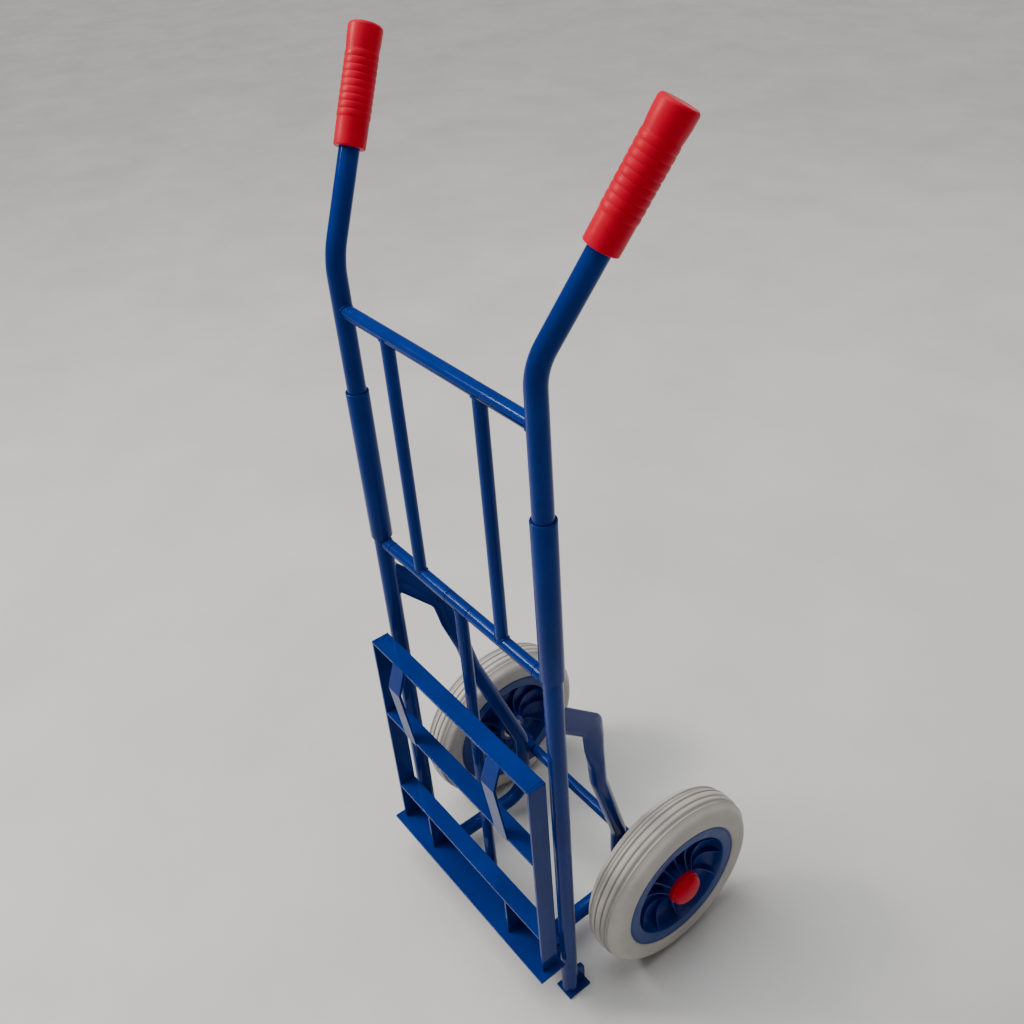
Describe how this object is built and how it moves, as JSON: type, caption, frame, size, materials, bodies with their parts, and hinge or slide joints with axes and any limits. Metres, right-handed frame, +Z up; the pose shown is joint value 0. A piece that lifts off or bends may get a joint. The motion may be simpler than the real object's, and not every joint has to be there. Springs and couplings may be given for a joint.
{
  "type": "folding sack truck",
  "caption": "Folding sack truck: a tube frame on foam wheels, a fold-forward upper frame with bent handles and locking sleeves, and a toe grid that folds down.",
  "frame": {"origin": "on the floor, under the middle of the whole object's box", "axes": "+Z up; the load side with the toe grid faces -Y; the wheels and the bent handles lie towards +Y, where the user stands; left is the user's left, +X"},
  "size_m": [0.4722, 0.3466, 1.1625],
  "materials": {
    "blue_paint": "gloss powder coat",
    "red_plastic": "satin",
    "tyre_foam": "matt",
    "rim_plastic": "satin",
    "bright_steel": "zinc plated"
  },
  "bodies": {
    "lower_frame": {"lower_post_left": "blue_paint", "lower_post_right": "blue_paint", "post_nose_left": "bright_steel", "post_nose_right": "bright_steel", "hinge_stub_left": "blue_paint", "hinge_stub_right": "blue_paint", "leg_left": "blue_paint", "leg_right": "blue_paint", "axle_bracket_left": "blue_paint", "axle_bracket_right": "blue_paint", "axle_spacer_left": "blue_paint", "axle_spacer_right": "blue_paint", "axle_washer_left": "bright_steel", "axle_washer_right": "bright_steel", "axle_clip_left": "bright_steel", "axle_clip_right": "bright_steel", "foot_plate_left": "blue_paint", "foot_plate_right": "blue_paint", "hinge_knuckle": "blue_paint", "hinge_rod": "bright_steel", "centre_bar": "blue_paint", "heel_tube": "blue_paint", "axle": "blue_paint"},
    "upper_frame": {"upper_post_left": "blue_paint", "upper_post_right": "blue_paint", "ladder_bar_left": "blue_paint", "ladder_bar_right": "blue_paint", "hinge_barrel_left": "blue_paint", "hinge_barrel_right": "blue_paint", "grip_left": "red_plastic", "grip_right": "red_plastic", "upper_crossbar": "blue_paint"},
    "sleeve_left": {"sleeve_left": "blue_paint"},
    "sleeve_right": {"sleeve_right": "blue_paint"},
    "toe_grid": {"toe_side_bar_left": "blue_paint", "toe_side_bar_right": "blue_paint", "toe_rib_left": "blue_paint", "toe_rib_right": "blue_paint", "toe_skid_left": "blue_paint", "toe_skid_right": "blue_paint", "toe_lugs_left": "blue_paint", "toe_lugs_right": "blue_paint", "toe_top_bar": "blue_paint", "toe_middle_bar": "blue_paint", "toe_low_bar": "blue_paint", "heel_plate": "blue_paint", "heel_flange": "blue_paint"},
    "wheel_left": {"tyre_left": "tyre_foam", "rim_left": "rim_plastic", "wheel_bearings_left": "bright_steel", "bearing_spacer_left": "bright_steel", "hub_cap_left": "red_plastic"},
    "wheel_right": {"tyre_right": "tyre_foam", "rim_right": "rim_plastic", "wheel_bearings_right": "bright_steel", "bearing_spacer_right": "bright_steel", "hub_cap_right": "red_plastic"}
  },
  "joints": [
    {"name": "upper_fold", "type": "hinge", "parent": "lower_frame", "child": "upper_frame", "pos_m": [0, -0.11875, 0.586], "axis": [1, 0, 0], "range_deg": [0, 150]},
    {"name": "sleeve_slide_left", "type": "slide", "parent": "upper_frame", "child": "sleeve_left", "axis": [0, 0, 1], "range_m": [0, 0.09]},
    {"name": "sleeve_slide_right", "type": "slide", "parent": "upper_frame", "child": "sleeve_right", "axis": [0, 0, 1], "range_m": [0, 0.09]},
    {"name": "toe_fold", "type": "hinge", "parent": "lower_frame", "child": "toe_grid", "pos_m": [0, -0.11875, 0.056], "axis": [1, 0, 0], "range_deg": [0, 90]},
    {"name": "wheel_spin_left", "type": "hinge", "parent": "lower_frame", "child": "wheel_left", "pos_m": [0.186, 0.04325, 0.13], "axis": [1, 0, 0], "continuous": true},
    {"name": "wheel_spin_right", "type": "hinge", "parent": "lower_frame", "child": "wheel_right", "pos_m": [-0.186, 0.04325, 0.13], "axis": [1, 0, 0], "continuous": true}
  ],
  "couplings": [
    {"joint": "sleeve_slide_left", "follows": "upper_fold", "m_per_rad": 0.0343},
    {"joint": "sleeve_slide_right", "follows": "upper_fold", "m_per_rad": 0.0343}
  ]
}
